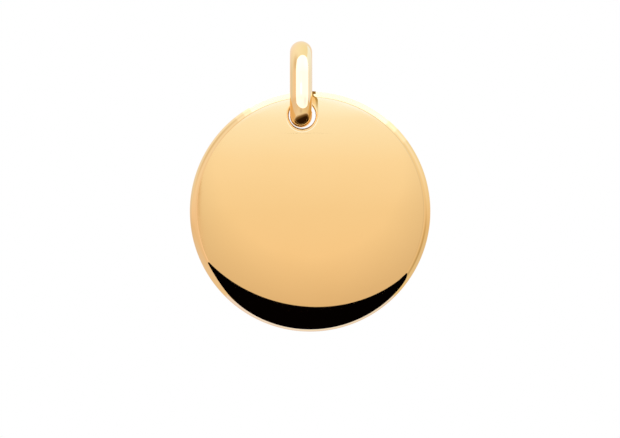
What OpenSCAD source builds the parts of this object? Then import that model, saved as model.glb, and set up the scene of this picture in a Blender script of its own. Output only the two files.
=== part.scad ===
// Disc pendant: a plain round polished disc that hangs from an oval wire bail.
// Frame: +Z up, the front of the disc faces -Y. The origin is where a chain bears,
// at the inside of the bail's top bend.

/* [Disc] */
// Diameter of the disc
disc_d = 20.6; // [15:0.1:25]
// Thickness of the disc
disc_t = 1.2; // [1.15:0.05:1.3]
// Radius that softens the outer edge on both faces
edge_r = 0.56; // [0.2:0.01:0.58]
// How far the disc leans to one side on its bail, in degrees
disc_lean = 4.7; // [0:0.1:8]

/* [Hole] */
// Diameter of the hole that the bail runs through
hole_d = 2.3; // [2.3:0.05:2.6]
// Width of metal left between the hole and the disc's edge
web_w = 0.9; // [0.85:0.05:1.1]
// Radius that softens the rims of the hole
hole_rim_r = 0.2; // [0.2:0.01:0.28]
// How far the hole's centre lies to the right of the bail's middle
hole_shift = 0.1; // [0:0.01:0.12]

/* [Bail] */
// Thickness of the round wire
wire_d = 1.9; // [1.7:0.05:1.9]
// Overall height of the bail
bail_h = 7.4; // [6.6:0.1:9]
// Clear width inside the bail, front to back
bail_gap = 1.8; // [1.7:0.05:2.4]
// Running clearance between the inside of the bail's lower bend and the hole's upper wall
bail_play = 0.3; // [0.2:0.01:0.3]

/* [Hidden] */

// Smooth round shapes
$fn = 96;
// How far a cutter runs past the face that it cuts
overrun = 0.2;
// A rim's rounding breaks out through the face at a slight angle, so that no face ends in a point
rim_rise = 0.012;

// The bail's bends are half rings, and two straight limbs join them
bend_in = bail_gap / 2;
bend_mid = bend_in + wire_d / 2;
bend_out = bend_in + wire_d;
limb_h = bail_h - 2 * bend_out;
top_bend_z = -bend_in;
low_bend_z = top_bend_z - limb_h;

// The hole's upper wall hangs on the lower bend, and the disc swings about that bend's centre
disc_r = disc_d / 2;
hole_r = hole_d / 2;
hole_z = low_bend_z - (bend_in - bail_play) - hole_r;
hole_to_centre = disc_r - web_w - hole_r;

// Section of the disc from its middle to its edge: x is the radius, y runs through the thickness
module disc_section() {
    land_h = disc_t - 2 * edge_r;
    translate([0, -disc_t / 2])
        square([disc_r - edge_r, disc_t]);
    translate([0, -land_h / 2])
        square([disc_r, land_h]);
    for (side = [-1, 1])
        translate([disc_r - edge_r, side * (disc_t / 2 - edge_r)])
            intersection() {
                circle(r = edge_r);
                translate([0, side > 0 ? 0 : -edge_r])
                    square(edge_r);
            }
}

// Cutter for one softened rim, whose face lies in the plane z = 0
module rim_cutter() {
    rotate_extrude()
        difference() {
            translate([hole_r - overrun, -hole_rim_r])
                square([hole_rim_r + overrun, hole_rim_r + overrun]);
            translate([hole_r + hole_rim_r, rim_rise - hole_rim_r])
                circle(r = hole_rim_r);
        }
}

// The bore and both of its softened rims, along Z and centred on the origin
module hole_cutter() {
    cylinder(r = hole_r, h = disc_t + 2 * overrun, center = true);
    for (side = [0, 1])
        mirror([0, 0, side])
            translate([0, 0, disc_t / 2])
                rim_cutter();
}

// The upper half of a ring of wire, in the plane x = 0 and centred on the origin
module wire_bend() {
    rotate([0, 0, 90])
        rotate([90, 0, 0])
            rotate_extrude(angle = 180)
                translate([bend_mid, 0])
                    circle(d = wire_d);
}

// The polished disc, hung by its hole and leaning a little
module disc() {
    color("#f3cf8c")
        translate([hole_shift, 0, hole_z])
            rotate([0, -disc_lean, 0])
                rotate([90, 0, 0])
                    difference() {
                        translate([0, -hole_to_centre, 0])
                            rotate_extrude()
                                disc_section();
                        hole_cutter();
                    }
}

// The oval bail of round wire
module bail() {
    color("#f5d596") {
        translate([0, 0, top_bend_z])
            wire_bend();
        translate([0, 0, low_bend_z])
            mirror([0, 0, 1])
                wire_bend();
        for (side = [-1, 1])
            translate([0, side * bend_mid, low_bend_z])
                cylinder(d = wire_d, h = limb_h);
    }
}

disc();
bail();
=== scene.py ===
"""A mirror-polished gold disc pendant on its oval wire bail, lit as a small studio still life.

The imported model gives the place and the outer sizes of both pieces. They are built again here with a
finer mesh, because a mirror finish shows every flat of a coarse one, and they get the worn, hand
polished gold that the real ones have.
"""

import logging
import math
from collections.abc import Callable
from dataclasses import dataclass
from enum import Enum

import bmesh
import bpy
from mathutils import Matrix, Vector

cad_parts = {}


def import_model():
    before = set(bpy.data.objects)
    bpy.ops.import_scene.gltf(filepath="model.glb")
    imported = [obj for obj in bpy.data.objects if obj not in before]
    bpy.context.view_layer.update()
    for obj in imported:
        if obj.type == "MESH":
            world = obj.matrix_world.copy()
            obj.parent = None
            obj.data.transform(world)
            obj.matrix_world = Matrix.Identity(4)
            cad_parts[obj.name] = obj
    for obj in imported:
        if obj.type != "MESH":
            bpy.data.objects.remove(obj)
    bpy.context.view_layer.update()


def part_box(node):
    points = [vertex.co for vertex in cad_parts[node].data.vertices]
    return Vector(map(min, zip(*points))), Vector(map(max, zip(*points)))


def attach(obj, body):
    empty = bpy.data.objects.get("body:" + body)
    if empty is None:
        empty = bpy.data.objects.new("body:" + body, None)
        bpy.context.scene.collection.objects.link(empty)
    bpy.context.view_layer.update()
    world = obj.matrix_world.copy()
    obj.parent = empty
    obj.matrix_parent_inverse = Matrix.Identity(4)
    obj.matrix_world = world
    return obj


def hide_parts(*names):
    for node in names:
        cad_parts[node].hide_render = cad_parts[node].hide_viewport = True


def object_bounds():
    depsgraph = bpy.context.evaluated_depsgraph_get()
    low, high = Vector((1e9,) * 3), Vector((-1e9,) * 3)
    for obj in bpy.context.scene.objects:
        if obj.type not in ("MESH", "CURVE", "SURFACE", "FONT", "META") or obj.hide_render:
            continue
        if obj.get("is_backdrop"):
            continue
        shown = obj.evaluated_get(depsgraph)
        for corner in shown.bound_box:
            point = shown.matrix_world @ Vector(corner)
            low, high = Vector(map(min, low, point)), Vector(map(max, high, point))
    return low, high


LOG = logging.getLogger("disc_pendant")
MM = 0.001
MM_IN_CM = 10

# The photograph's frame, and how many of its pixels are one millimetre in the plane of the disc
FRAME_W_PX = 620
FRAME_H_PX = 438
PX_PER_MM = 11.68
# The middle of the disc in that frame
DISC_CENTRE_PX = (310.1, 211.3)

# Short names for the types that many signatures use
Pair = tuple[float, float]
Place = tuple[float, float, float]
Rgb = tuple[float, float, float]
Tree = bpy.types.NodeTree
Socket = bpy.types.NodeSocket


class Face(Enum):
    """The two faces of the disc, as the sign of Y that each one looks along."""

    FRONT = -1
    BACK = 1


def linear(hex_colour: str, alpha: float = 1.0) -> tuple[float, float, float, float]:
    """Turn an sRGB hex colour into the linear values that Blender's sockets take.

    Args:
        hex_colour: Six hex digits, with or without the leading mark.
        alpha: The fourth value.

    Returns:
        Linear red, green and blue, and alpha.
    """
    digits = hex_colour.lstrip("#")
    channels = [int(digits[i : i + 2], 16) / 255 for i in (0, 2, 4)]
    red, green, blue = (c / 12.92 if c <= 0.04045 else ((c + 0.055) / 1.055) ** 2.4 for c in channels)
    return red, green, blue, alpha


def add_node(tree: Tree, kind: str, inputs: dict | None = None, **settings) -> bpy.types.Node:
    """Add one node with its settings, values and links.

    Args:
        tree: The node tree that gets it.
        kind: The node's Blender type name.
        inputs: For each socket's name or number, a value or the output socket that feeds it.
        settings: The node's own properties.

    Returns:
        The new node.
    """
    node = tree.nodes.new(kind)
    for name, value in settings.items():
        setattr(node, name, value)
    for key, value in (inputs or {}).items():
        if isinstance(value, Socket):
            tree.links.new(value, node.inputs[key])
        else:
            node.inputs[key].default_value = value
    return node


def empty_material(name: str) -> tuple[bpy.types.Material, Tree]:
    """Make a material without any nodes.

    Args:
        name: The material's name.

    Returns:
        The new material, and its node tree.
    """
    made = bpy.data.materials.new(name)
    made.use_nodes = True
    made.node_tree.nodes.clear()
    return made, made.node_tree


def glowing(name: str, colour: Rgb) -> bpy.types.Material:
    """Make a card shine in one colour.

    Args:
        name: The material's name.
        colour: Linear red, green and blue.

    Returns:
        The new material.
    """
    made, tree = empty_material(name)
    shine = add_node(tree, "ShaderNodeEmission", {"Color": (*colour, 1.0)})
    add_node(tree, "ShaderNodeOutputMaterial", {"Surface": shine.outputs[0]})
    return made


def rectangle(low: Pair, high: Pair) -> list[Pair]:
    """The corners of a rectangle whose sides run along the axes, in order round it."""
    return [low, (high[0], low[1]), high, (low[0], high[1])]


def plate_mesh(corners: list[Place]) -> bmesh.types.BMesh:
    """Make one flat face.

    Args:
        corners: Its corners in metres, in order round it.

    Returns:
        The new mesh.
    """
    shape = bmesh.new()
    shape.faces.new([shape.verts.new(corner) for corner in corners])
    return shape


def strip_mesh(pairs: list[list[Vector]]) -> bmesh.types.BMesh:
    """Make a strip of four-sided faces.

    Args:
        pairs: The two sides' points in metres, one pair for each step along the strip.

    Returns:
        The new mesh.
    """
    shape = bmesh.new()
    rows = [[shape.verts.new(point) for point in pair] for pair in pairs]
    for before, after in zip(rows, rows[1:]):
        shape.faces.new((before[0], after[0], after[1], before[1]))
    return shape


def finished(name: str, shape: bmesh.types.BMesh, material: bpy.types.Material) -> bpy.types.Object:
    """Turn a bmesh into an object at the origin.

    Args:
        name: The piece's name.
        shape: Its mesh, which is freed.
        material: Its material.

    Returns:
        The new object, linked to the scene.
    """
    mesh = bpy.data.meshes.new(name)
    shape.to_mesh(mesh)
    shape.free()
    mesh.materials.append(material)
    piece = bpy.data.objects.new(name, mesh)
    bpy.context.scene.collection.objects.link(piece)
    return piece


@dataclass(frozen=True)
class PolishedGold:
    """14 carat yellow gold, rolled or drawn, buffed to a mirror and then lightly worn.

    To the eye it is a coloured mirror: it shows the room sharply and only a little bent. Hairlines from
    the cloth show where a dark and a light thing meet in it, and the gloss is softer where skin, clothes
    or the other piece rub it.
    """

    name: str
    colour: str = "#fde2aa"
    rosy_colour: str = "#fce0a6"
    # A hairline is about 0.01 mm wide; it is drawn at 0.06 mm, most of a pixel, so that it shows at all
    hairline_mm: float = 0.06
    # Its length in its own widths, the ways that hairlines run, the noise values between which one fades
    # in, and the strength of its bump
    hairline_length: float = 40.0
    hairline_turns_deg: tuple[float, ...] = (25.0, 80.0, 142.0)
    hairline_noise: Pair = (0.66, 0.74)
    hairline_bump: float = 0.0015
    # The patches that differ in gloss and tint, and the noise values between which the gloss changes
    patch_mm: float = 4.0
    patch_detail: float = 3.0
    patch_noise: Pair = (0.35, 0.7)
    roughness: Pair = (0.02, 0.05)
    # The unevenness that buffing leaves
    ripple_mm: float = 5.0
    ripple_detail: float = 1.0
    ripple_bump: float = 0.004
    # What wear adds to the roughness, and how many times deeper it makes the hairlines
    worn_roughness: float = 0.05
    worn_bump: float = 3.0

    def material(self, worn_at: Callable[[Tree, Socket], Socket]) -> bpy.types.Material:
        """Build the procedural material.

        Args:
            worn_at: Makes the nodes that give 1 where the piece is worn and 0 elsewhere, from the tree
                and the place on the piece.

        Returns:
            The new material.
        """
        made, tree = empty_material(self.name)
        place = add_node(tree, "ShaderNodeTexCoord").outputs["Object"]
        worn = worn_at(tree, place)
        patches = self._noise(tree, place, self.patch_mm, self.patch_detail)
        tint = add_node(
            tree,
            "ShaderNodeMix",
            {"Factor": patches, "A": linear(self.colour), "B": linear(self.rosy_colour)},
            data_type="RGBA",
        )
        gloss = add_node(
            tree,
            "ShaderNodeMapRange",
            {"Value": patches, "From Min": self.patch_noise[0], "From Max": self.patch_noise[1],
             "To Min": self.roughness[0], "To Max": self.roughness[1]},
        )
        dulled = add_node(
            tree,
            "ShaderNodeMath",
            {0: worn, 1: self.worn_roughness, 2: gloss.outputs[0]},
            operation="MULTIPLY_ADD",
        )
        lines = self._hairlines(tree, place, self.hairline_turns_deg[0])
        for turn in self.hairline_turns_deg[1:]:
            both = {0: lines, 1: self._hairlines(tree, place, turn)}
            lines = add_node(tree, "ShaderNodeMath", both, operation="MAXIMUM").outputs[0]
        depth = add_node(
            tree,
            "ShaderNodeMath",
            {0: worn, 1: self.worn_bump * self.hairline_bump, 2: self.hairline_bump},
            operation="MULTIPLY_ADD",
        )
        ripple = self._noise(tree, place, self.ripple_mm, self.ripple_detail)
        broad = add_node(
            tree, "ShaderNodeBump", {"Strength": self.ripple_bump, "Distance": MM, "Height": ripple}
        )
        fine = add_node(
            tree,
            "ShaderNodeBump",
            {"Strength": depth.outputs[0], "Distance": self.hairline_mm * MM,
             "Height": lines, "Normal": broad.outputs["Normal"]},
        )
        shader = add_node(
            tree,
            "ShaderNodeBsdfPrincipled",
            {"Base Color": tint.outputs[2], "Metallic": 1.0, "Roughness": dulled.outputs[0],
             "Normal": fine.outputs["Normal"]},
        )
        add_node(tree, "ShaderNodeOutputMaterial", {"Surface": shader.outputs[0]})
        return made

    def _noise(self, tree: Tree, place: Socket, size_mm: float, detail: float) -> Socket:
        """Make soft patches of a real size.

        Args:
            tree: The material's node tree.
            place: Object coordinates in metres.
            size_mm: Width of one patch.
            detail: Octaves of finer variation.

        Returns:
            The noise's value socket.
        """
        noise = add_node(
            tree, "ShaderNodeTexNoise", {"Vector": place, "Scale": 1 / (size_mm * MM), "Detail": detail}
        )
        return noise.outputs[0]

    def _hairlines(self, tree: Tree, place: Socket, turn_deg: float) -> Socket:
        """Make fine straight scratches that run one way.

        Args:
            tree: The material's node tree.
            place: Object coordinates in metres.
            turn_deg: The way that they run, about the Y axis.

        Returns:
            A socket that is 1 on a scratch and 0 beside it.
        """
        across = 1 / (self.hairline_mm * MM)
        along = across / self.hairline_length
        turned = add_node(
            tree, "ShaderNodeMapping", {"Vector": place, "Rotation": (0.0, math.radians(turn_deg), 0.0)}
        )
        drawn = add_node(
            tree, "ShaderNodeMapping", {"Vector": turned.outputs[0], "Scale": (along, along, across)}
        )
        noise = add_node(
            tree, "ShaderNodeTexNoise", {"Vector": drawn.outputs[0], "Scale": 1.0, "Detail": 0.0}
        )
        start, full = self.hairline_noise
        peaks = add_node(
            tree, "ShaderNodeMapRange", {"Value": noise.outputs[0], "From Min": start, "From Max": full}
        )
        return peaks.outputs[0]


@dataclass
class Disc:
    """The round polished disc with its one hole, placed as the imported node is.

    Only the hole's own sizes are given here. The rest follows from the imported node's box.
    """

    hole_d_mm: float = 2.3
    hole_place_mm: Pair = (0.1, -4.45)
    hole_rim_r_mm: float = 0.2
    edge_r_mm: float = 0.56
    # How many times more than the disc's edge the hole's rim is worn by the wire, and where that wear
    # starts and is full, as shares of the rim's outer radius
    rim_wear: float = 5.0
    rim_wear_shares: Pair = (1.02, 0.94)
    around: int = 384
    edge_steps: int = 16
    rim_steps: int = 10
    # Where the rings of the flat face lie, as shares of the way from the hole's rim to the disc's edge
    flat_shares: tuple[float, ...] = (0.01, 0.06, 0.3, 0.7, 0.94, 0.99)

    def rings(self) -> list[tuple[float, float, float, float]]:
        """List the circles of the surface, from the hole's wall over the front and round the back.

        Returns:
            For each circle its centre's X and Z, its radius and its Y, in metres.
        """
        low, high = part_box("disc")
        disc_r = (high.x - low.x) / 2
        half_t = (high.y - low.y) / 2
        disc_x = (low.x + high.x) / 2
        disc_z = (low.z + high.z) / 2
        hole_x, hole_z = (v * MM for v in self.hole_place_mm)
        hole_r = self.hole_d_mm / 2 * MM
        rim_r = self.hole_rim_r_mm * MM
        edge_r = self.edge_r_mm * MM
        front = []
        for step in range(self.rim_steps + 1):
            turn = math.pi / 2 * step / self.rim_steps
            radius = hole_r + rim_r * (1 - math.cos(turn))
            depth = half_t - rim_r * (1 - math.sin(turn))
            front.append((hole_x, hole_z, radius, depth))
        for share in self.flat_shares:
            front.append((
                hole_x + (disc_x - hole_x) * share,
                hole_z + (disc_z - hole_z) * share,
                hole_r + rim_r + (disc_r - edge_r - hole_r - rim_r) * share,
                half_t,
            ))
        for step in range(self.edge_steps + 1):
            turn = math.pi / 2 * step / self.edge_steps
            radius = disc_r - edge_r * (1 - math.sin(turn))
            depth = half_t - edge_r * (1 - math.cos(turn))
            front.append((disc_x, disc_z, radius, depth))
        back = [(x, z, radius, Face.BACK.value * depth) for x, z, radius, depth in reversed(front)]
        return [(x, z, radius, Face.FRONT.value * depth) for x, z, radius, depth in front] + back

    def build(self, finish: PolishedGold) -> bpy.types.Object:
        """Make the disc as one closed mesh of rings.

        Args:
            finish: What it is dressed in.

        Returns:
            The finished object, at the origin.
        """
        shape = bmesh.new()
        rows = []
        for x, z, radius, y in self.rings():
            row = []
            for step in range(self.around):
                turn = 2 * math.pi * step / self.around
                row.append(shape.verts.new((x + radius * math.cos(turn), y, z + radius * math.sin(turn))))
            rows.append(row)
        for index, row in enumerate(rows):
            following = rows[(index + 1) % len(rows)]
            for step in range(self.around):
                after = (step + 1) % self.around
                shape.faces.new((row[step], row[after], following[after], following[step]))
        bmesh.ops.recalc_face_normals(shape, faces=shape.faces)
        for face in shape.faces:
            face.smooth = True
        return finished("polished_disc", shape, finish.material(self._worn_edge))

    def _worn_edge(self, tree: Tree, place: Socket) -> Socket:
        """Give 1 on the disc's rounded edge, where clothes rub it, more on the hole's rim, and 0 between.

        Args:
            tree: The material's node tree.
            place: Object coordinates in metres.

        Returns:
            The mask's socket.
        """
        low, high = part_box("disc")
        disc_r = (high.x - low.x) / 2
        flat = add_node(tree, "ShaderNodeVectorMath", {0: place, 1: (1.0, 0.0, 1.0)}, operation="MULTIPLY")
        middle = ((low.x + high.x) / 2, 0.0, (low.z + high.z) / 2)
        out = add_node(tree, "ShaderNodeVectorMath", {0: flat.outputs[0], 1: middle}, operation="DISTANCE")
        mask = add_node(
            tree,
            "ShaderNodeMapRange",
            {"Value": out.outputs["Value"], "From Min": disc_r - self.edge_r_mm * MM, "From Max": disc_r},
        )
        hole_x, hole_z = (v * MM for v in self.hole_place_mm)
        rim_end = (self.hole_d_mm / 2 + self.hole_rim_r_mm) * MM
        start, full = (rim_end * share for share in self.rim_wear_shares)
        hole = (hole_x, 0.0, hole_z)
        off = add_node(tree, "ShaderNodeVectorMath", {0: flat.outputs[0], 1: hole}, operation="DISTANCE")
        rim = add_node(
            tree,
            "ShaderNodeMapRange",
            {"Value": off.outputs["Value"], "From Min": start, "From Max": full, "To Max": self.rim_wear},
        )
        both = add_node(
            tree, "ShaderNodeMath", {0: mask.outputs[0], 1: rim.outputs[0]}, operation="MAXIMUM"
        )
        return both.outputs[0]


@dataclass
class Bail:
    """The oval loop of round wire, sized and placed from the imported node's box."""

    bend_steps: int = 64
    section_steps: int = 72
    # How far from the inside of a bend the wire is rubbed
    rubbed_mm: float = 1.2

    def build(self, finish: PolishedGold) -> bpy.types.Object:
        """Sweep the wire round its oval path with Geometry Nodes.

        Args:
            finish: What it is dressed in.

        Returns:
            The finished object, at the origin.
        """
        low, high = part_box("bail")
        wire_r = (high.x - low.x) / 2
        bend_r = (high.y - low.y) / 2 - wire_r
        limb_h = (high.z - low.z) - 2 * (bend_r + wire_r)
        material = finish.material(self._worn_bends)
        tree = self._tree(material)
        mesh = bpy.data.meshes.new("wire_path")
        maker = bpy.data.objects.new("wire_path", mesh)
        bpy.context.scene.collection.objects.link(maker)
        modifier = maker.modifiers.new("wire", "NODES")
        modifier.node_group = tree
        sizes = {"Wire radius": wire_r, "Bend radius": bend_r, "Limb height": limb_h}
        for item in tree.interface.items_tree:
            if item.name in sizes:
                modifier[item.identifier] = sizes[item.name]
        evaluated = maker.evaluated_get(bpy.context.evaluated_depsgraph_get())
        swept = bpy.data.meshes.new_from_object(evaluated)
        bpy.data.objects.remove(maker)
        swept.transform(Matrix.Translation((low + high) / 2))
        swept.name = "wire_bail"
        piece = bpy.data.objects.new("wire_bail", swept)
        bpy.context.scene.collection.objects.link(piece)
        return piece

    def _worn_bends(self, tree: Tree, place: Socket) -> Socket:
        """Give 1 inside both bends, where the chain and the disc rub the wire, and 0 far from them.

        Args:
            tree: The material's node tree.
            place: Object coordinates in metres.

        Returns:
            The mask's socket.
        """
        low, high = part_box("bail")
        wire = high.x - low.x
        marks = []
        for height in (high.z - wire, low.z + wire):
            away = add_node(
                tree, "ShaderNodeVectorMath", {0: place, 1: (0.0, 0.0, height)}, operation="DISTANCE"
            )
            near = add_node(
                tree,
                "ShaderNodeMapRange",
                {"Value": away.outputs["Value"], "From Min": self.rubbed_mm * MM, "From Max": 0.0},
            )
            marks.append(near.outputs[0])
        return add_node(tree, "ShaderNodeMath", {0: marks[0], 1: marks[1]}, operation="MAXIMUM").outputs[0]

    def _tree(self, material: bpy.types.Material) -> Tree:
        """Make the node tree that bends a round wire into a closed oval in the plane X = 0.

        Args:
            material: The wire's material.

        Returns:
            The tree, with its three sizes as named inputs.
        """
        tree = bpy.data.node_groups.new("oval_wire", "GeometryNodeTree")
        for name in ("Wire radius", "Bend radius", "Limb height"):
            tree.interface.new_socket(name, in_out="INPUT", socket_type="NodeSocketFloat")
        tree.interface.new_socket("Wire", in_out="OUTPUT", socket_type="NodeSocketGeometry")
        sizes = add_node(tree, "NodeGroupInput").outputs
        bend = add_node(
            tree,
            "GeometryNodeCurveArc",
            {"Resolution": self.bend_steps + 1, "Radius": sizes["Bend radius"],
             "Start Angle": 0.0, "Sweep Angle": math.pi},
        )
        half = add_node(tree, "ShaderNodeMath", {0: sizes["Limb height"], 1: 0.5}, operation="MULTIPLY")
        lift = add_node(tree, "ShaderNodeCombineXYZ", {"Y": half.outputs[0]})
        upper = add_node(
            tree, "GeometryNodeTransform", {"Geometry": bend.outputs[0], "Translation": lift.outputs[0]}
        )
        lower = add_node(
            tree, "GeometryNodeTransform", {"Geometry": upper.outputs[0], "Rotation": (0.0, 0.0, math.pi)}
        )
        both = add_node(tree, "GeometryNodeJoinGeometry")
        for bent in (lower, upper):
            tree.links.new(bent.outputs[0], both.inputs[0])
        points = add_node(
            tree, "GeometryNodeCurveToPoints", {"Curve": both.outputs[0]}, mode="EVALUATED"
        )
        path = add_node(tree, "GeometryNodePointsToCurves", {"Points": points.outputs[0]})
        loop = add_node(
            tree, "GeometryNodeSetSplineCyclic", {"Geometry": path.outputs[0], "Cyclic": True}
        )
        upright = add_node(
            tree,
            "GeometryNodeTransform",
            {"Geometry": loop.outputs[0], "Rotation": (math.pi / 2, 0.0, math.pi / 2)},
        )
        section = add_node(
            tree,
            "GeometryNodeCurvePrimitiveCircle",
            {"Resolution": self.section_steps, "Radius": sizes["Wire radius"]},
        )
        swept = add_node(
            tree,
            "GeometryNodeCurveToMesh",
            {"Curve": upright.outputs[0], "Profile Curve": section.outputs[0]},
        )
        smooth = add_node(
            tree, "GeometryNodeSetShadeSmooth", {"Geometry": swept.outputs[0], "Shade Smooth": True}
        )
        real = add_node(tree, "GeometryNodeRealizeInstances", {"Geometry": smooth.outputs[0]})
        dressed = add_node(
            tree, "GeometryNodeSetMaterial", {"Geometry": real.outputs[0], "Material": material}
        )
        out = add_node(tree, "NodeGroupOutput")
        tree.links.new(dressed.outputs[0], out.inputs[0])
        return tree


@dataclass(frozen=True)
class Glow:
    """What one card or the tent sends out: linear red, green and blue at each height or distance."""

    stops: tuple[tuple[float, Rgb], ...]

    def ramp(self, tree: Tree, level: Socket) -> Socket:
        """Turn a height or a distance into the colour that shines there.

        Args:
            tree: The node tree that gets the nodes.
            level: The height or distance, in the unit of the stops.

        Returns:
            The colour socket.
        """
        first = self.stops[0][0]
        last = self.stops[-1][0]
        share = add_node(tree, "ShaderNodeMapRange", {"Value": level, "From Min": first, "From Max": last})
        ramp = add_node(tree, "ShaderNodeValToRGB", {"Fac": share.outputs[0]})
        elements = ramp.color_ramp.elements
        while len(elements) < len(self.stops):
            # The place is set below
            elements.new(0.5)
        for element, (value, colour) in zip(elements, self.stops):
            element.position = (value - first) / (last - first)
            element.color = (*colour, 1.0)
        return ramp.outputs[0]

    def material(self, name: str) -> bpy.types.Material:
        """Make a card shine by the height of each place on it, in mm.

        Args:
            name: The material's name.

        Returns:
            The new material.
        """
        made, tree = empty_material(name)
        place = add_node(tree, "ShaderNodeTexCoord").outputs["Object"]
        height = add_node(tree, "ShaderNodeSeparateXYZ", {0: place}).outputs["Z"]
        height_mm = add_node(tree, "ShaderNodeMath", {0: height, 1: 1 / MM}, operation="MULTIPLY")
        shine = add_node(tree, "ShaderNodeEmission", {"Color": self.ramp(tree, height_mm.outputs[0])})
        add_node(tree, "ShaderNodeOutputMaterial", {"Surface": shine.outputs[0]})
        return made


@dataclass(frozen=True)
class Lamp:
    """A soft rectangular lamp that lights only one piece, where it shows as a mirrored highlight.

    Its size is its width and its height, and its strength is what a white mirror would show.
    """

    name: str
    place_mm: Place
    aim_mm: Place
    size_mm: Pair
    strength: Rgb

    def hang(self, piece: bpy.types.Object, blockers: list[bpy.types.Object]) -> None:
        """Hang the lamp so that it faces its aim.

        Args:
            piece: The one piece that it lights.
            blockers: The things that its light doesn't pass.
        """
        place = Vector(self.place_mm) * MM
        way = Vector(self.aim_mm) * MM - place
        data = bpy.data.lights.new(self.name, "AREA")
        data.shape = "RECTANGLE"
        data.size, data.size_y = (side * MM for side in self.size_mm)
        data.color = self.strength
        data.energy = math.pi * data.size * data.size_y
        holder = bpy.data.objects.new(self.name, data)
        holder.location = place
        holder.rotation_euler = way.to_track_quat("-Z", "Y").to_euler()
        holder.visible_camera = False
        bpy.context.scene.collection.objects.link(holder)
        lit = bpy.data.collections.new(f"lit_by_{self.name}")
        lit.objects.link(piece)
        holder.light_linking.receiver_collection = lit
        stops = bpy.data.collections.new(f"blocks_{self.name}")
        for blocker in blockers:
            stops.objects.link(blocker)
        holder.light_linking.blocker_collection = stops


@dataclass(frozen=True)
class Spot:
    """A soft round patch that tints the tent, most in its middle and not at all at its reach."""

    place_mm: Place
    reach_mm: float
    tint: Rgb

    def over(self, tree: Tree, place: Socket, colour: Socket) -> Socket:
        """Tint a colour round the spot.

        Args:
            tree: The node tree to add to.
            place: Object coordinates in metres.
            colour: The colour to tint.

        Returns:
            The tinted colour's socket.
        """
        middle = tuple(v * MM for v in self.place_mm)
        out = add_node(tree, "ShaderNodeVectorMath", {0: place, 1: middle}, operation="DISTANCE")
        near = add_node(
            tree,
            "ShaderNodeMapRange",
            {"Value": out.outputs["Value"], "From Min": self.reach_mm * MM, "From Max": 0.0},
            interpolation_type="SMOOTHSTEP",
        )
        tinted = add_node(
            tree,
            "ShaderNodeMix",
            {"Factor": near.outputs[0], "A": colour, "B": (*self.tint, 1.0)},
            data_type="RGBA",
            blend_type="MULTIPLY",
        )
        return tinted.outputs[2]


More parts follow.
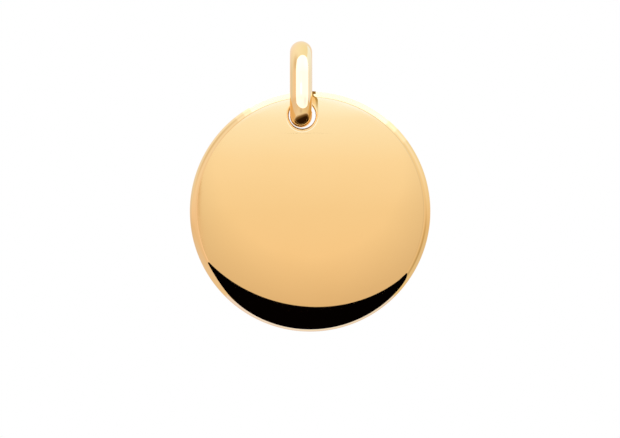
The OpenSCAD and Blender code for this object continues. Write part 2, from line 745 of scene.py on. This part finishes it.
@dataclass
class Studio:
    """A pale floor, soft light and the camera of the photograph, none of which is part of the pendant.

    A mirror shows what stands round it, so the pendant hangs in a tent of graded light that the camera
    doesn't see. A round card is what the front face shows from straight ahead. A black collar below it,
    close to the disc, gives the dark crescent along the lower edge. Small cards close to the face give
    painted reflections: the dark patch in the bail's foot, and the brown line, the orange patch and the
    dark strip beside the bail.
    """

    camera_distance_mm: float = 300.0
    camera_clip_m: Pair = (0.01, 5.0)
    sensor_mm: float = 36.0
    floor_drop_mm: float = 40.0
    floor_size_mm: float = 900.0
    floor_colour: str = "#fbfbfa"
    floor_roughness: float = 0.9
    tent_radius_mm: float = 125.0
    tent_middle_mm: float = -13.0
    tent_subdivisions: int = 5
    # The dark crescent's upper edge as a circle in the plane of the disc's face, and its two ends
    arc_centre_mm: Pair = (0.778, -8.54)
    arc_radius_mm: float = 12.33
    arc_ends_deg: Pair = (-44.6, 42.4)
    # How far it lies above that circle, in mm, by powers of the distance from its middle in cm
    arc_lift: tuple[float, ...] = (0.048, -0.445, -0.210, 0.128, 0.207)
    # The black collar: how far its front and back edge stand from the face, the back edge's radius at
    # the ends and in the middle, and the powers by which both edges come in towards the ends
    collar_front_mm: float = 3.7
    collar_back_mm: float = 0.02
    collar_radius_mm: Pair = (9.8, 11.3)
    collar_front_power: int = 8
    collar_left_powers: tuple[int, int] = (2, 3)
    collar_right_powers: tuple[int, int] = (6, 1)
    collar_steps: int = 96
    collar_glow: Rgb = (0.001, 0.0004, 0.0003)
    # A dark half oval under the bail's foot, which the foot mirrors as a painted dark reflection: its
    # middle's X and Z, and its half sizes
    under_place_mm: Pair = (0.55, -6.0)
    under_half_mm: Pair = (2.3, 2.1)
    under_steps: int = 32
    # Its glow by the share of the way from its middle to its rim, where it fades into the tent's
    under_glow: Glow = Glow((
        (0.0, (0.02, 0.008, 0.002)),
        (0.6, (0.03, 0.012, 0.003)),
        (0.82, (0.2, 0.12, 0.05)),
        (1.0, (0.86, 0.70, 0.58)),
    ))
    # A thin brown line close to the face, which the face mirrors beside the bail as a painted dark
    # reflection: X and Z of its bends, its distance from the face, half its width, and its glow by height
    shade_line_mm: tuple[Pair, ...] = (
        (0.98, -0.2), (1.0, -2.5), (1.07, -2.7), (1.22, -2.9), (1.34, -3.15), (1.36, -3.6), (1.38, -4.2),
    )
    shade_away_mm: float = 0.4
    shade_half_mm: float = 0.1
    shade_glow: Glow = Glow((
        (-4.3, (0.88, 0.88, 0.88)),
        (-3.9, (0.88, 0.86, 0.84)),
        (-3.6, (0.74, 0.64, 0.50)),
        (-3.15, (0.50, 0.36, 0.14)),
        (-2.5, (0.45, 0.27, 0.08)),
    ))
    # The orange patch between that line and the bail, a painted reflection, from this X on and a little
    # farther from the face
    patch_from_mm: float = 0.7
    patch_away_mm: float = 0.42
    patch_glow: Glow = Glow((
        (-4.3, (1.03, 1.05, 1.15)),
        (-3.75, (1.02, 1.05, 1.1)),
        (-3.45, (0.98, 0.82, 0.66)),
        (-3.1, (0.97, 0.72, 0.45)),
        (-2.5, (0.90, 0.56, 0.26)),
    ))
    # A dark strip over the disc's top edge beside the bail, which the edge mirrors as a painted dark
    # reflection: X and Y of its corners, and its height
    strip_mm: tuple[Pair, Pair] = ((0.9, -0.78), (1.28, 0.25))
    strip_height_mm: float = -2.16
    strip_glow: Rgb = (0.30, 0.17, 0.045)
    # A plate that keeps the disc's top lamps off the hole's rim: distance, and its corners' X and Z
    visor_away_mm: float = 2.6
    visor_mm: tuple[Pair, Pair] = ((-1.7, -5.95), (1.9, -3.15))
    # The graded card: its distance from the face, its radius as a share of the crescent circle's, the
    # share within which its light is full, and the light left at that circle
    card_away_mm: float = 112.0
    card_share: float = 1.4
    card_full_share: float = 0.65
    card_fall: float = 0.8
    card_steps: int = 96
    # Heights on the graded card, as seen mirrored in the face
    card_glow: Glow = Glow((
        (-20.9, (0.95, 0.72, 0.53)),
        (-12.6, (0.95, 0.79, 0.64)),
        (-8.3, (1.0, 0.885, 0.785)),
        (-4.8, (1.02, 1.01, 1.05)),
        (-3.4, (1.04, 1.16, 1.42)),
        (-2.35, (1.07, 1.25, 1.65)),
        (-1.6, (1.0, 0.89, 0.80)),
    ))
    # Near the top of the disc's face the card is paler: radii from the disc's middle, heights and tint
    arch_radius_mm: Pair = (9.54, 9.84)
    arch_end_mm: Pair = (9.95, 10.5)
    arch_height_mm: Pair = (-5.6, -4.3)
    arch_tint: Rgb = (1.0, 1.17, 1.6)
    # The pale wall at the left of the graded card: the circle that bounds it, in the plane of the face
    wall_away_mm: float = 111.0
    wall_centre_mm: Pair = (9.17, -12.72)
    wall_radius_mm: float = 17.85
    wall_ends_deg: Pair = (135.0, 225.0)
    wall_line_mm: float = 0.25
    wall_width_mm: float = 4.0
    wall_steps: int = 64
    wall_glow: Rgb = (0.95, 0.72, 0.63)
    wall_line_glow: Rgb = (0.73, 0.54, 0.38)
    # Heights in the tent
    tent_glow: Glow = Glow((
        (-138.0, (0.90, 0.82, 0.76)),
        (-112.0, (0.88, 0.76, 0.66)),
        (-90.0, (0.84, 0.69, 0.57)),
        (-55.0, (0.81, 0.67, 0.61)),
        (-40.0, (0.83, 0.66, 0.55)),
        (-28.0, (0.84, 0.64, 0.50)),
        (-15.0, (0.91, 0.71, 0.60)),
        (-4.0, (0.93, 0.76, 0.66)),
        (20.0, (0.96, 0.84, 0.78)),
        (60.0, (0.98, 0.93, 0.92)),
        (112.0, (1.0, 1.0, 1.0)),
    ))
    # Tints of its left and right side, and the soft patches on it
    left_tint: Rgb = (1.0, 1.0, 1.04)
    right_tint: Rgb = (0.95, 0.96, 0.86)
    spots: tuple[Spot, ...] = (
        Spot((-92.0, -40.0, 54.0), 78.0, (0.78, 0.68, 0.54)),
        Spot((92.0, -45.0, 50.0), 85.0, (1.1, 1.12, 1.35)),
        Spot((82.0, -82.0, -48.0), 58.0, (0.68, 0.60, 0.43)),
        Spot((-100.0, 45.0, 2.0), 75.0, (0.82, 0.95, 1.05)),
        Spot((0.0, -62.0, -110.0), 42.0, (0.78, 0.74, 0.76)),
    )
    bail_lamps: tuple[Lamp, ...] = (
        Lamp("bail_key", (7.5, -31.1, 13.6), (0.0, 0.0, 12.8), (139.0, 108.0), (0.6, 0.76, 1.5)),
        Lamp("bail_fill", (35.8, 14.5, 8.5), (0.0, 0.0, -1.8), (56.0, 46.0), (0.0, 0.2, 0.62)),
    )
    # Three lamps of different widths hang over the disc, so that the pale band's ends fade
    disc_lamps: tuple[Lamp, ...] = (
        Lamp("disc_top", (5.0, 0.0, 17.6), (5.0, 0.0, -2.4), (44.0, 440.0), (0.25, 0.36, 0.6)),
        Lamp("disc_top_mid", (6.5, 0.0, 17.7), (6.5, 0.0, -2.4), (53.0, 440.0), (0.15, 0.2, 0.33)),
        Lamp("disc_top_wide", (9.2, 0.0, 17.8), (9.2, 0.0, -2.4), (65.5, 440.0), (0.1, 0.14, 0.22)),
        Lamp("disc_under", (0.8, 10.0, -53.0), (0.8, 10.0, -23.0), (80.0, 60.0), (0.0, 0.12, 0.55)),
    )

    def build(self, disc: bpy.types.Object, bail: bpy.types.Object) -> None:
        """Set the colour management, and make the floor, tent, cards, lamps and camera.

        Args:
            disc: The disc, which has lamps of its own.
            bail: The wire bail, which has its own too.
        """
        scene = bpy.context.scene
        scene.view_settings.view_transform = "Standard"
        eye = self._camera_place()
        self._camera(scene, eye)
        self._room(scene)
        self._floor()
        self._tent()
        self._graded_card(eye)
        self._wall(eye)
        self._collar(eye)
        self._under(eye)
        shades = self._shade(eye)
        for lamp in self.bail_lamps:
            lamp.hang(bail, [bail, disc])
        visor = self._visor()
        for lamp in self.disc_lamps:
            lamp.hang(disc, [bail, disc, visor, *shades])

    def _camera_place(self) -> Vector:
        """Find where the camera stands, from the disc's place in the photograph's frame.

        Returns:
            The camera's place in metres.
        """
        low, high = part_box("disc")
        px = PX_PER_MM / MM
        x = (low.x + high.x) / 2 + (FRAME_W_PX / 2 - DISC_CENTRE_PX[0]) / px
        z = (low.z + high.z) / 2 + (DISC_CENTRE_PX[1] - FRAME_H_PX / 2) / px
        return Vector((x, -self.camera_distance_mm * MM, z))

    def _camera(self, scene: bpy.types.Scene, eye: Vector) -> None:
        """Make the long-lens camera that looks straight at the disc's face.

        Args:
            scene: The scene that gets it.
            eye: Its place.
        """
        data = bpy.data.cameras.new("camera")
        data.sensor_width = self.sensor_mm
        data.lens = self.sensor_mm * self.camera_distance_mm * PX_PER_MM / FRAME_W_PX
        data.clip_start, data.clip_end = self.camera_clip_m
        camera = bpy.data.objects.new("camera", data)
        camera.location = eye
        camera.rotation_euler = (math.pi / 2, 0.0, 0.0)
        scene.collection.objects.link(camera)
        scene.camera = camera

    def _room(self, scene: bpy.types.Scene) -> None:
        """Make a plain white room.

        Args:
            scene: The scene that gets it.
        """
        world = bpy.data.worlds.new("white_room")
        world.use_nodes = True
        world.node_tree.nodes["Background"].inputs["Color"].default_value = (1.0, 1.0, 1.0, 1.0)
        world.cycles.sampling_method = "NONE"
        scene.world = world

    def _tent(self) -> None:
        """Hang a round tent of graded light, warmer and darker below and at the right."""
        shape = bmesh.new()
        middle = Matrix.Translation((0.0, 0.0, self.tent_middle_mm * MM))
        radius = self.tent_radius_mm * MM
        bmesh.ops.create_icosphere(
            shape, subdivisions=self.tent_subdivisions, radius=radius, matrix=middle
        )
        material, tree = empty_material("tent")
        place = add_node(tree, "ShaderNodeTexCoord").outputs["Object"]
        parts = add_node(tree, "ShaderNodeSeparateXYZ", {0: place}).outputs
        height = add_node(tree, "ShaderNodeMath", {0: parts["Z"], 1: 1 / MM}, operation="MULTIPLY")
        glow = self.tent_glow.ramp(tree, height.outputs[0])
        side = radius / 2
        right = add_node(
            tree, "ShaderNodeMapRange", {"Value": parts["X"], "From Min": -side, "From Max": side}
        )
        tint = add_node(
            tree,
            "ShaderNodeMix",
            {"Factor": right.outputs[0], "A": (*self.left_tint, 1.0), "B": (*self.right_tint, 1.0)},
            data_type="RGBA",
        )
        tinted = add_node(
            tree,
            "ShaderNodeMix",
            {"Factor": 1.0, "A": glow, "B": tint.outputs[2]},
            data_type="RGBA",
            blend_type="MULTIPLY",
        )
        colour = tinted.outputs[2]
        for spot in self.spots:
            colour = spot.over(tree, place, colour)
        shine = add_node(tree, "ShaderNodeEmission", {"Color": colour})
        add_node(tree, "ShaderNodeOutputMaterial", {"Surface": shine.outputs[0]})
        self._hide(finished("tent", shape, material))

    def _floor(self) -> None:
        """Lay a plain pale floor below the pendant."""
        low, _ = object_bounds()
        height = low.z - self.floor_drop_mm * MM
        half = self.floor_size_mm / 2 * MM
        corners = [(x, y, height) for x, y in rectangle((-half, -half), (half, half))]
        pale = bpy.data.materials.new("pale_floor")
        pale.use_nodes = True
        surface = pale.node_tree.nodes["Principled BSDF"].inputs
        surface["Base Color"].default_value = linear(self.floor_colour)
        surface["Roughness"].default_value = self.floor_roughness
        floor = finished("floor", plate_mesh(corners), pale)
        floor.visible_glossy = False
        floor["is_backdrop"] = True

    def _mirrored(self, eye: Vector, place_mm: Pair, away_mm: float) -> Vector:
        """Find the point at some distance before the face that shows in it at a given place.

        Args:
            eye: The camera's place.
            place_mm: X and Z of that place, in the plane of the face.
            away_mm: The point's distance from the face.

        Returns:
            The point whose reflection the camera sees at that place.
        """
        half_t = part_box("disc")[1].y
        grow = 1 + away_mm * MM / (self.camera_distance_mm * MM - half_t)
        x, z = (value * MM for value in place_mm)
        return Vector((eye.x + grow * (x - eye.x), -half_t - away_mm * MM, eye.z + grow * (z - eye.z)))

    def _graded_card(self, eye: Vector) -> None:
        """Stand a round card before the disc, whose face shows it from straight ahead.

        Args:
            eye: The camera's place.
        """
        away = self.card_away_mm
        grow = 1 + away / self.camera_distance_mm
        centre = self._mirrored(eye, self.arc_centre_mm, away)
        radius = grow * self.arc_radius_mm * MM
        shape = bmesh.new()
        bmesh.ops.create_circle(
            shape,
            cap_ends=True,
            segments=self.card_steps,
            radius=radius * self.card_share,
            matrix=Matrix.Translation(centre) @ Matrix.Rotation(math.pi / 2, 4, "X"),
        )
        material, tree = empty_material("graded_card")
        place = add_node(tree, "ShaderNodeTexCoord").outputs["Object"]
        height = add_node(tree, "ShaderNodeSeparateXYZ", {0: place}).outputs["Z"]
        seen_mm = add_node(
            tree,
            "ShaderNodeMath",
            {0: height, 1: 1 / (grow * MM), 2: (eye.z - eye.z / grow) / MM},
            operation="MULTIPLY_ADD",
        )
        glow = self._arched(tree, place, seen_mm.outputs[0], eye)
        out = add_node(tree, "ShaderNodeVectorMath", {0: place, 1: tuple(centre)}, operation="DISTANCE")
        fall = add_node(
            tree,
            "ShaderNodeMapRange",
            {"Value": out.outputs["Value"], "From Min": self.card_full_share * radius, "From Max": radius,
             "To Min": 1.0, "To Max": self.card_fall},
        )
        shine = add_node(tree, "ShaderNodeEmission", {"Color": glow, "Strength": fall.outputs[0]})
        add_node(tree, "ShaderNodeOutputMaterial", {"Surface": shine.outputs[0]})
        self._hide(finished("graded_card", shape, material))

    def _arched(self, tree: Tree, place: Socket, seen_mm: Socket, eye: Vector) -> Socket:
        """Colour the graded card by height, and paler where it shows near the top of the disc's face.

        Args:
            tree: The card's node tree.
            place: Object coordinates in metres.
            seen_mm: The height at which each place on the card shows in the face.
            eye: The camera's place.

        Returns:
            The colour's socket.
        """
        glow = self.card_glow.ramp(tree, seen_mm)
        low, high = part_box("disc")
        disc_mm = tuple((low[axis] + high[axis]) / 2 / MM for axis in (0, 2))
        middle = tuple(self._mirrored(eye, disc_mm, self.card_away_mm))
        grow = 1 + self.card_away_mm / self.camera_distance_mm
        near, far = (grow * reach * MM for reach in self.arch_radius_mm)
        end, over = (grow * reach * MM for reach in self.arch_end_mm)
        off = add_node(tree, "ShaderNodeVectorMath", {0: place, 1: middle}, operation="DISTANCE")
        ring = add_node(
            tree, "ShaderNodeMapRange", {"Value": off.outputs["Value"], "From Min": near, "From Max": far}
        )
        within = add_node(
            tree,
            "ShaderNodeMapRange",
            {"Value": off.outputs["Value"], "From Min": end, "From Max": over,
             "To Min": 1.0, "To Max": 0.0},
        )
        upper = add_node(
            tree,
            "ShaderNodeMapRange",
            {"Value": seen_mm, "From Min": self.arch_height_mm[0], "From Max": self.arch_height_mm[1],
             "To Max": within.outputs[0]},
        )
        arch = add_node(
            tree, "ShaderNodeMath", {0: ring.outputs[0], 1: upper.outputs[0]}, operation="MULTIPLY"
        )
        paler = add_node(
            tree,
            "ShaderNodeMix",
            {"Factor": arch.outputs[0], "A": glow, "B": (*self.arch_tint, 1.0)},
            data_type="RGBA",
            blend_type="MULTIPLY",
        )
        return paler.outputs[2]

    def _wall(self, eye: Vector) -> None:
        """Stand a pale wall with a thin darker edge at the left of the graded card.

        Args:
            eye: The camera's place.
        """
        away = self.wall_away_mm
        grow = 1 + away / self.camera_distance_mm
        centre = self._mirrored(eye, self.wall_centre_mm, away)
        inner = self.wall_radius_mm
        rings = (
            ("wall_edge", inner, inner + self.wall_line_mm, self.wall_line_glow),
            ("wall", inner + self.wall_line_mm, inner + self.wall_width_mm, self.wall_glow),
        )
        start, end = self.wall_ends_deg
        for name, near, far, colour in rings:
            pairs = []
            for step in range(self.wall_steps + 1):
                turn = math.radians(start + (end - start) * step / self.wall_steps)
                way = Vector((math.cos(turn), 0.0, math.sin(turn)))
                pairs.append([centre + way * grow * reach * MM for reach in (near, far)])
            self._hide(finished(name, strip_mesh(pairs), glowing(name, colour)))

    def _collar(self, eye: Vector) -> None:
        """Stand a black collar before the disc's lower edge, which its face and rounded edge mirror.

        Args:
            eye: The camera's place.
        """
        low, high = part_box("disc")
        disc_centre = (low + high) / 2
        narrow, wide = self.collar_radius_mm
        depth = self.collar_front_mm - self.collar_back_mm
        left, right = (math.radians(end) for end in self.arc_ends_deg)
        pairs = []
        for step in range(self.collar_steps + 1):
            turn = left + (right - left) * step / self.collar_steps
            share = turn / (left if turn < 0 else right)
            along = self.arc_radius_mm * math.sin(turn)
            lift = sum(size * (along / MM_IN_CM) ** power for power, size in enumerate(self.arc_lift))
            x = self.arc_centre_mm[0] + along
            z = self.arc_centre_mm[1] - self.arc_radius_mm * math.cos(turn) + lift
            away = self.collar_back_mm + depth * (1 - share**self.collar_front_power)
            front = self._mirrored(eye, (x, z), away)
            out = front - disc_centre
            out.y = 0.0
            out.normalize()
            inner, outer = self.collar_left_powers if turn < 0 else self.collar_right_powers
            reach = (narrow + (wide - narrow) * (1 - share**inner) ** outer) * MM
            back = disc_centre + out * reach
            back.y = -high.y - self.collar_back_mm * MM
            pairs.append([front, back])
        name = "black_collar"
        self._hide(finished(name, strip_mesh(pairs), glowing(name, self.collar_glow)))

    def _under(self, eye: Vector) -> None:
        """Lay a dark, soft half oval under the bail's foot, edge on to the camera and its mirror image.

        Args:
            eye: The camera's place.
        """
        # The foot mirrors this card as a painted dark reflection, and its soft rim fades like a shadow's
        # edge
        middle_x, z = self.under_place_mm
        half_x, depth = self.under_half_mm
        pairs = []
        for step in range(self.under_steps + 1):
            turn = math.pi * step / self.under_steps
            x = middle_x - half_x * math.cos(turn)
            aways = (self.collar_back_mm, self.collar_back_mm + depth * math.sin(turn))
            pairs.append([self._mirrored(eye, (x, z), away) for away in aways])
        material, tree = empty_material("under_foot")
        place = add_node(tree, "ShaderNodeTexCoord").outputs["Object"]
        middle = tuple(self._mirrored(eye, self.under_place_mm, self.collar_back_mm))
        off = add_node(tree, "ShaderNodeVectorMath", {0: place, 1: middle}, operation="SUBTRACT")
        scale = (1 / (half_x * MM), 1 / (depth * MM), 0.0)
        scaled = add_node(
            tree, "ShaderNodeVectorMath", {0: off.outputs[0], 1: scale}, operation="MULTIPLY"
        )
        share = add_node(tree, "ShaderNodeVectorMath", {0: scaled.outputs[0]}, operation="LENGTH")
        glow = self.under_glow.ramp(tree, share.outputs["Value"])
        shine = add_node(tree, "ShaderNodeEmission", {"Color": glow})
        add_node(tree, "ShaderNodeOutputMaterial", {"Surface": shine.outputs[0]})
        self._hide(finished("under_foot", strip_mesh(pairs), material))

    def _shade(self, eye: Vector) -> list[bpy.types.Object]:
        """Hang a brown line, an orange patch and a dark strip at the right of the bail.

        Args:
            eye: The camera's place.

        Returns:
            The three cards.
        """
        # The face mirrors these three cards as painted reflections beside the bail
        line = []
        patch = []
        last = len(self.shade_line_mm) - 1
        for index, (x, z) in enumerate(self.shade_line_mm):
            before = self.shade_line_mm[max(index - 1, 0)]
            after = self.shade_line_mm[min(index + 1, last)]
            way = Vector((after[0] - before[0], after[1] - before[1])).normalized() * self.shade_half_mm
            sides = ((x + way.y, z - way.x), (x - way.y, z + way.x))
            line.append([self._mirrored(eye, side, self.shade_away_mm) for side in sides])
            sides = ((self.patch_from_mm, z), (x, z))
            patch.append([self._mirrored(eye, side, self.patch_away_mm) for side in sides])
        height = self.strip_height_mm * MM
        corners = [(x * MM, y * MM, height) for x, y in rectangle(*self.strip_mm)]
        cards = [
            finished("shade_line", strip_mesh(line), self.shade_glow.material("shade_line")),
            finished("shade_patch", strip_mesh(patch), self.patch_glow.material("shade_patch")),
            finished("shade_strip", plate_mesh(corners), glowing("shade_strip", self.strip_glow)),
        ]
        for card in cards:
            self._hide(card, blocks=True)
        return cards

    def _visor(self) -> bpy.types.Object:
        """Hang the plate that only keeps the lamps' light off, and that nothing shows.

        Returns:
            The plate.
        """
        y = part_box("disc")[0].y - self.visor_away_mm * MM
        corners = [(x * MM, y, z * MM) for x, z in rectangle(*self.visor_mm)]
        plate = finished("visor", plate_mesh(corners), glowing("visor", (0.0, 0.0, 0.0)))
        plate.visible_glossy = False
        self._hide(plate, blocks=True)
        return plate

    def _hide(self, card: bpy.types.Object, blocks: bool = False) -> None:
        """Make a card part of the stage that only mirrors see.

        Args:
            card: The card.
            blocks: Whether it also keeps the lamps' light from what lies behind it.
        """
        card.visible_camera = False
        card.visible_diffuse = False
        card.visible_shadow = blocks
        for slot in card.material_slots:
            slot.material.cycles.emission_sampling = "NONE"
        card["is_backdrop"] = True


def main() -> None:
    """Build the pendant and its studio in order."""
    logging.basicConfig(level=logging.INFO, format="%(message)s")
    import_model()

    disc = Disc().build(PolishedGold("polished_gold_disc"))
    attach(disc, "disc")
    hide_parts("disc")
    LOG.info("%s: %d faces", disc.name, len(disc.data.polygons))

    bail = Bail().build(PolishedGold("polished_gold_wire"))
    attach(bail, "bail")
    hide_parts("bail")
    LOG.info("%s: %d faces", bail.name, len(bail.data.polygons))

    Studio().build(disc, bail)


if __name__ == "__main__":
    main()
